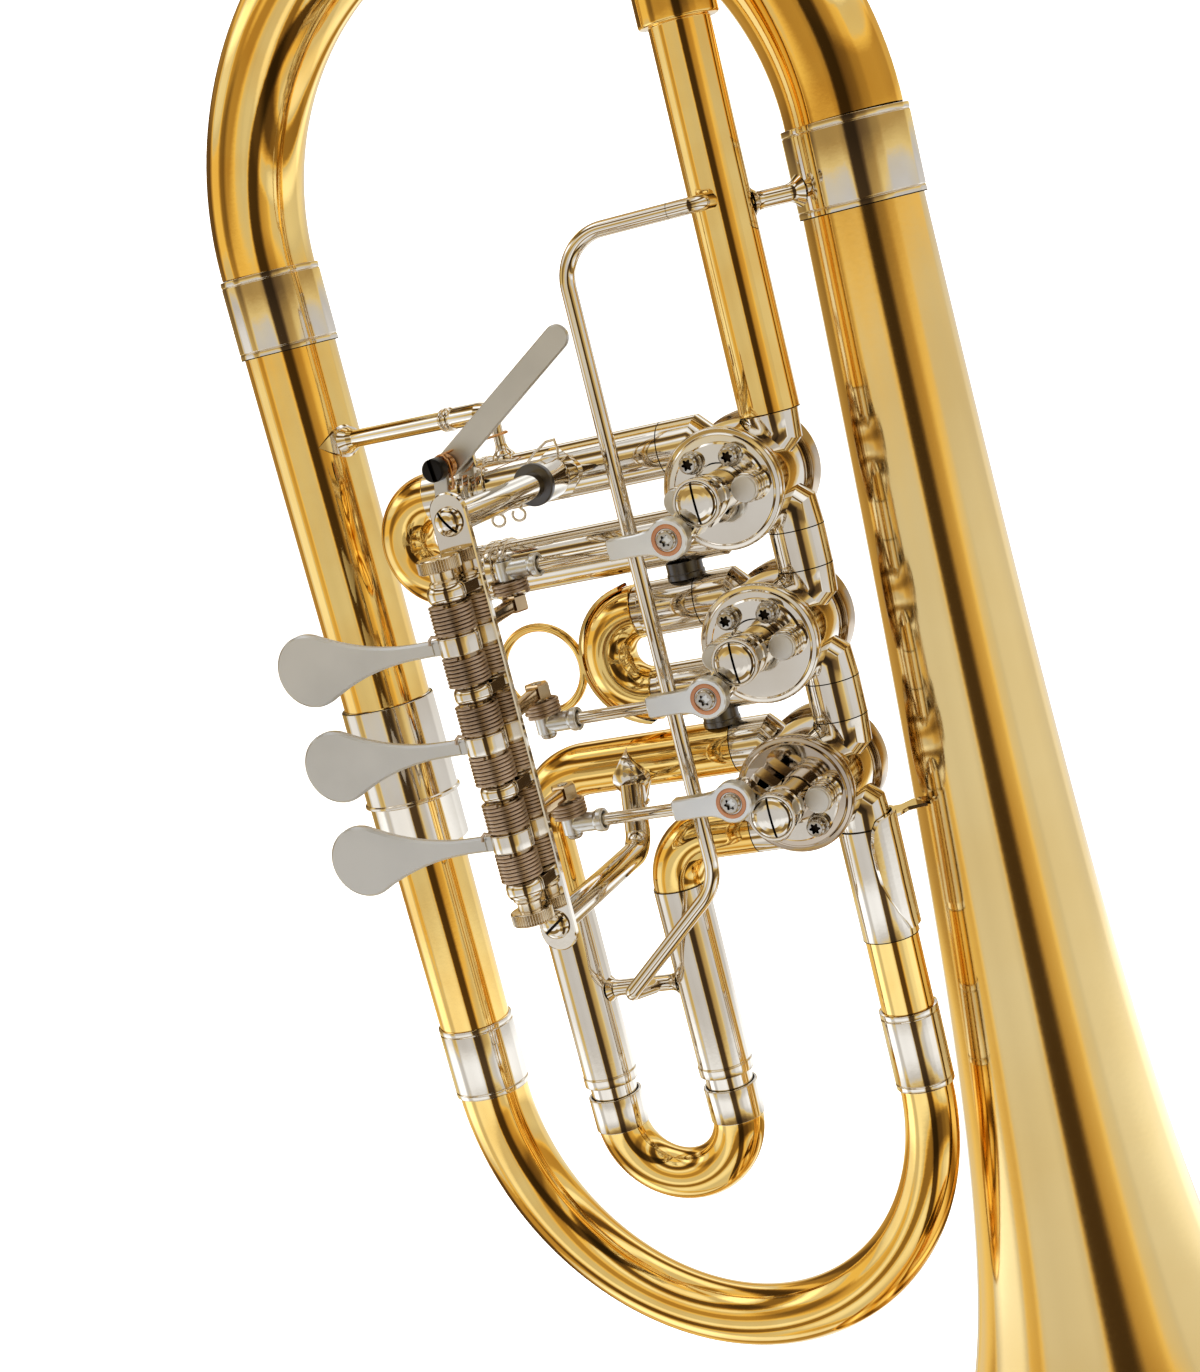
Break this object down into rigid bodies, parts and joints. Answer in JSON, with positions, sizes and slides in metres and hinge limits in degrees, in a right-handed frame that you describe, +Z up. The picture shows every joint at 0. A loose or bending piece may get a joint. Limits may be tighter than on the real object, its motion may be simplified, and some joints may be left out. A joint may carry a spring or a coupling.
{
  "type": "rotary valve flugelhorn",
  "caption": "Conical brass horn standing on its bell, with a row of rotary valves worked by sprung levers and links, tuning slides and a mouthpipe.",
  "frame": {"origin": "centre of the bell's rim plane", "axes": "+Z up the bell's axis to the player's end, +X from the valves to the bell branch's right, -Y toward the valve levers"},
  "size_m": [0.2286, 0.1624, 0.448],
  "materials": {
    "brass": "polished and lacquered",
    "nickel_silver": "polished nickel silver",
    "spring_steel": "drawn wire",
    "steel_screws": "turned",
    "link_aluminium": "satin",
    "bushing_bronze": "turned",
    "lever_steel": "satin with polished bevels",
    "bumper_gray": "flat ends in ringed metal holders",
    "black_screw": "blackened"
  },
  "bodies": {
    "horn": {"bell": "brass", "bow_ferrules": "nickel_silver", "top_bow": "brass", "tail_branch": "brass", "tail_sleeve": "nickel_silver", "front_bow": "brass", "outlet_sleeve": "nickel_silver", "casing_1": "nickel_silver", "casing_2": "nickel_silver", "casing_3": "nickel_silver", "top_plates": "nickel_silver", "back_caps": "nickel_silver", "back_bearings": "nickel_silver", "stop_plates": "nickel_silver", "stop_screws": "steel_screws", "bumpers": "bumper_gray", "valve_links": "nickel_silver", "hinge_rod": "nickel_silver", "lever_plate": "nickel_silver", "plate_screws": "steel_screws", "plate_posts": "nickel_silver", "guard_rod": "nickel_silver", "slide_sleeves": "nickel_silver", "slide_3_tubes": "brass", "slide_3_sleeves": "nickel_silver", "braces": "nickel_silver", "mouthpipe": "brass", "return_springs": "spring_steel", "trigger_screw": "black_screw", "trigger_spring": "spring_steel"},
    "lever_1": {"lever_1": "lever_steel", "cross_screw_1": "steel_screws"},
    "link_1": {"link_ends_1": "link_aluminium", "link_rod_1": "nickel_silver", "eye_bush_1": "bushing_bronze", "eye_screw_1": "steel_screws"},
    "rotor_1": {"rotor_1": "nickel_silver", "stop_arm_1": "nickel_silver"},
    "lever_2": {"lever_2": "lever_steel", "cross_screw_2": "steel_screws"},
    "link_2": {"link_ends_2": "link_aluminium", "link_rod_2": "nickel_silver", "eye_bush_2": "bushing_bronze", "eye_screw_2": "steel_screws"},
    "rotor_2": {"rotor_2": "nickel_silver", "stop_arm_2": "nickel_silver"},
    "lever_3": {"lever_3": "lever_steel", "cross_screw_3": "steel_screws"},
    "link_3": {"link_ends_3": "link_aluminium", "link_rod_3": "nickel_silver", "eye_bush_3": "bushing_bronze", "eye_screw_3": "steel_screws"},
    "rotor_3": {"rotor_3": "nickel_silver", "stop_arm_3": "nickel_silver"},
    "slide_1": {"slide_1_bow": "brass"},
    "trigger": {"trigger_lever": "lever_steel"},
    "slide_2": {"slide_2_bow": "brass", "slide_2_ring": "brass"},
    "slide_3": {"slide_3_bow": "brass"},
    "mouthpipe_slide": {"receiver_pipe": "nickel_silver"}
  },
  "joints": [
    {"name": "lever_1_hinge", "type": "hinge", "parent": "horn", "child": "lever_1", "pos_m": [-0.0724, -0.081, 0.251], "axis": [0, 0, -1], "range_deg": [0, 21.92], "stiffness_Nm_per_rad": 0.05, "springref_deg": -34.38},
    {"name": "link_1_pivot", "type": "hinge", "parent": "lever_1", "child": "link_1", "pos_m": [-0.07425, -0.051, 0.251], "axis": [0, 0, -1], "range_deg": [-24.26, 0]},
    {"name": "rotor_1_turn", "type": "hinge", "parent": "horn", "child": "rotor_1", "pos_m": [-0.032, -0.0196, 0.2645], "axis": [0, -1, 0], "range_deg": [0, 90.01]},
    {"name": "lever_2_hinge", "type": "hinge", "parent": "horn", "child": "lever_2", "pos_m": [-0.0724, -0.081, 0.2312], "axis": [0, 0, -1], "range_deg": [0, 21.92], "stiffness_Nm_per_rad": 0.05, "springref_deg": -34.38},
    {"name": "link_2_pivot", "type": "hinge", "parent": "lever_2", "child": "link_2", "pos_m": [-0.07425, -0.051, 0.2312], "axis": [0, 0, -1], "range_deg": [-24.26, 0]},
    {"name": "rotor_2_turn", "type": "hinge", "parent": "horn", "child": "rotor_2", "pos_m": [-0.032, -0.0196, 0.232], "axis": [0, -1, 0], "range_deg": [0, 90.01]},
    {"name": "lever_3_hinge", "type": "hinge", "parent": "horn", "child": "lever_3", "pos_m": [-0.0724, -0.081, 0.2114], "axis": [0, 0, -1], "range_deg": [0, 21.92], "stiffness_Nm_per_rad": 0.05, "springref_deg": -34.38},
    {"name": "link_3_pivot", "type": "hinge", "parent": "lever_3", "child": "link_3", "pos_m": [-0.07425, -0.051, 0.2114], "axis": [0, 0, -1], "range_deg": [-24.26, 0]},
    {"name": "rotor_3_turn", "type": "hinge", "parent": "horn", "child": "rotor_3", "pos_m": [-0.032, -0.0196, 0.1995], "axis": [0, 1, 0], "range_deg": [0, 90.01]},
    {"name": "trigger_hinge", "type": "hinge", "parent": "horn", "child": "trigger", "pos_m": [-0.0936, -0.026, 0.2806], "axis": [0, 1, 0], "range_deg": [0, 20], "stiffness_Nm_per_rad": 0.03, "springref_deg": -28.65},
    {"name": "slide_1_pull", "type": "slide", "parent": "horn", "child": "slide_1", "axis": [-1, 0, 0], "range_m": [0, 0.0042]},
    {"name": "slide_2_pull", "type": "slide", "parent": "horn", "child": "slide_2", "axis": [-1, 0, 0], "range_m": [0, 0.008]},
    {"name": "slide_3_pull", "type": "slide", "parent": "horn", "child": "slide_3", "axis": [0, 0, -1], "range_m": [0, 0.025]},
    {"name": "mouthpipe_pull", "type": "slide", "parent": "horn", "child": "mouthpipe_slide", "axis": [0, 0, 1], "range_m": [0, 0.015]}
  ],
  "couplings": [
    {"joint": "link_1_pivot", "follows": "lever_1_hinge", "ratio": -1.1063},
    {"joint": "rotor_1_turn", "follows": "lever_1_hinge", "ratio": 4.1058},
    {"joint": "link_2_pivot", "follows": "lever_2_hinge", "ratio": -1.1063},
    {"joint": "rotor_2_turn", "follows": "lever_2_hinge", "ratio": 4.1058},
    {"joint": "link_3_pivot", "follows": "lever_3_hinge", "ratio": -1.1063},
    {"joint": "rotor_3_turn", "follows": "lever_3_hinge", "ratio": 4.1058},
    {"joint": "trigger_hinge", "follows": "slide_1_pull", "rad_per_m": 82.71}
  ]
}
